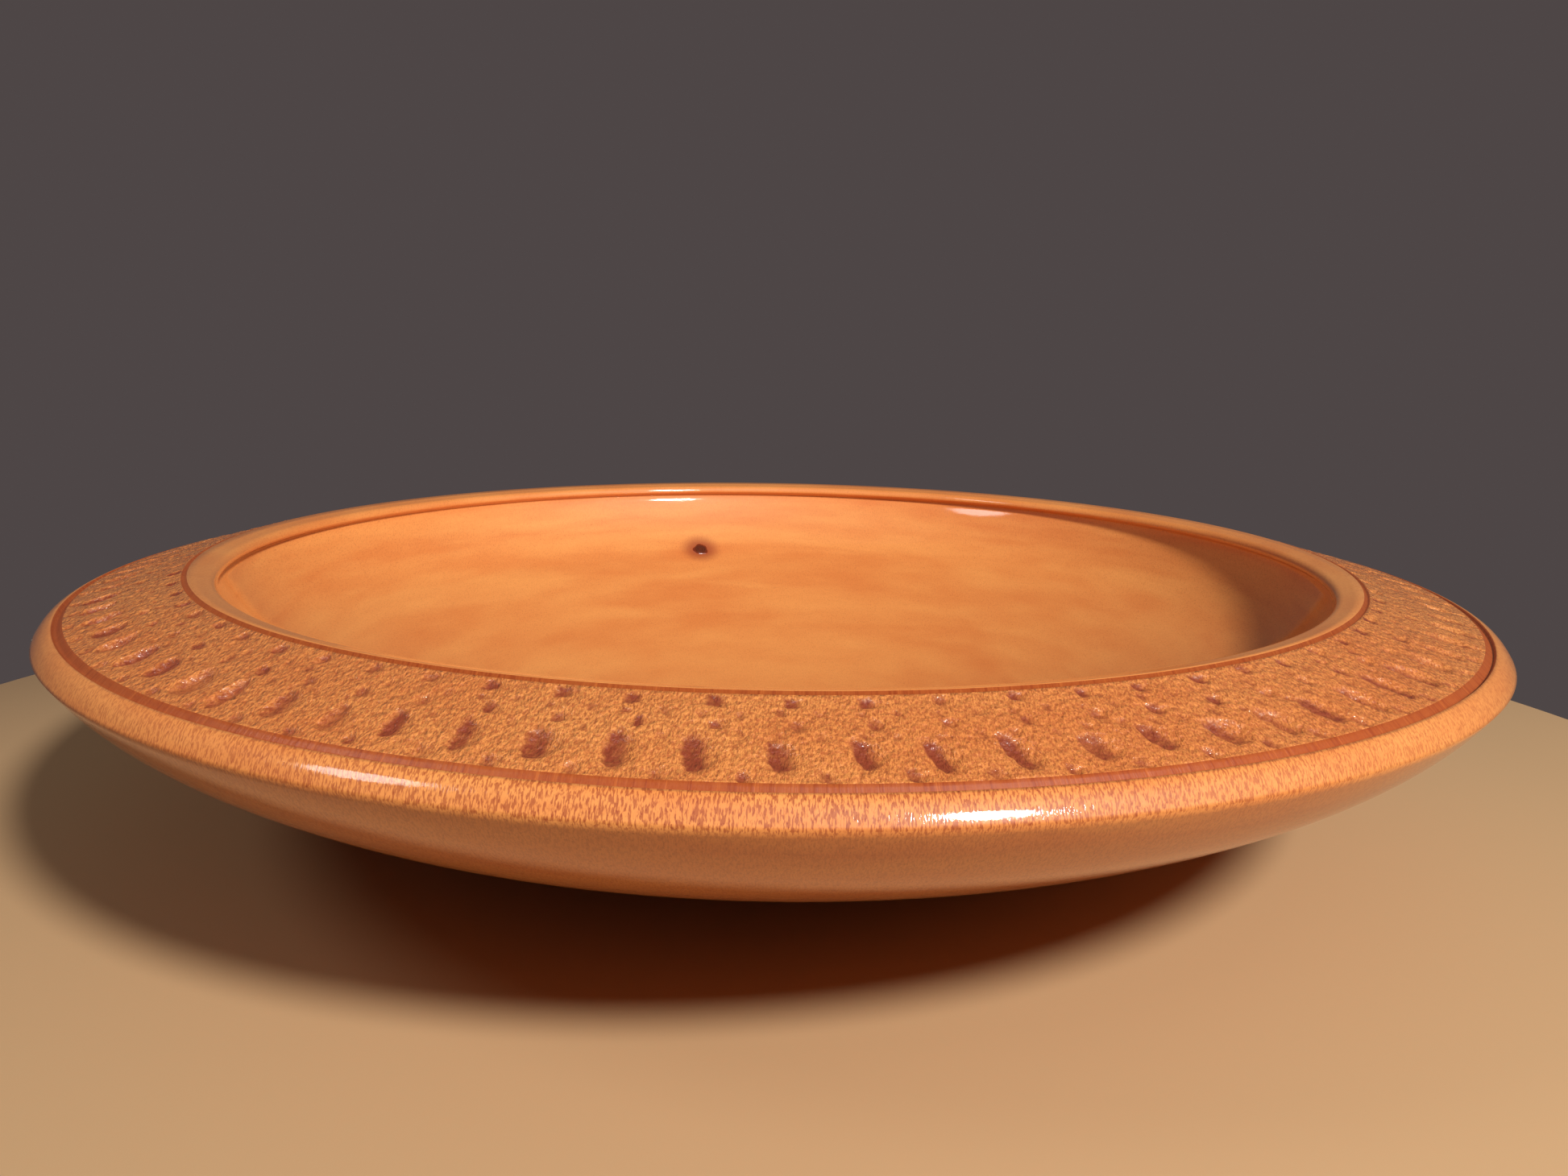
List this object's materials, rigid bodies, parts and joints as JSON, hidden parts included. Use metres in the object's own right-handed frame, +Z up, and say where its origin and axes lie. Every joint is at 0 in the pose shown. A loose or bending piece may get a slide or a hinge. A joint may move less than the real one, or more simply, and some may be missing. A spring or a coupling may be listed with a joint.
{
  "type": "carved wooden bowl",
  "caption": "Shallow turned wooden bowl with a broad carved, textured rim band between two scribed grooves and a low foot ring.",
  "frame": {"origin": "centre of the foot ring, on the turning axis, in the plane that the bowl stands on", "axes": "+Z up along the turning axis, out of the bowl's opening; -Y is the side seen nearest; the knot is in the far inner wall, towards +Y"},
  "size_m": [0.29, 0.29, 0.054],
  "materials": {
    "lacquered_wood": "orange-brown flecked hardwood under clear gloss lacquer, carved band darker in the dents",
    "knot_wood": "dark brown knot under the same clear gloss lacquer"
  },
  "bodies": {
    "root": {"bowl_body": "lacquered_wood", "pin_knot": "knot_wood"}
  },
  "joints": []
}
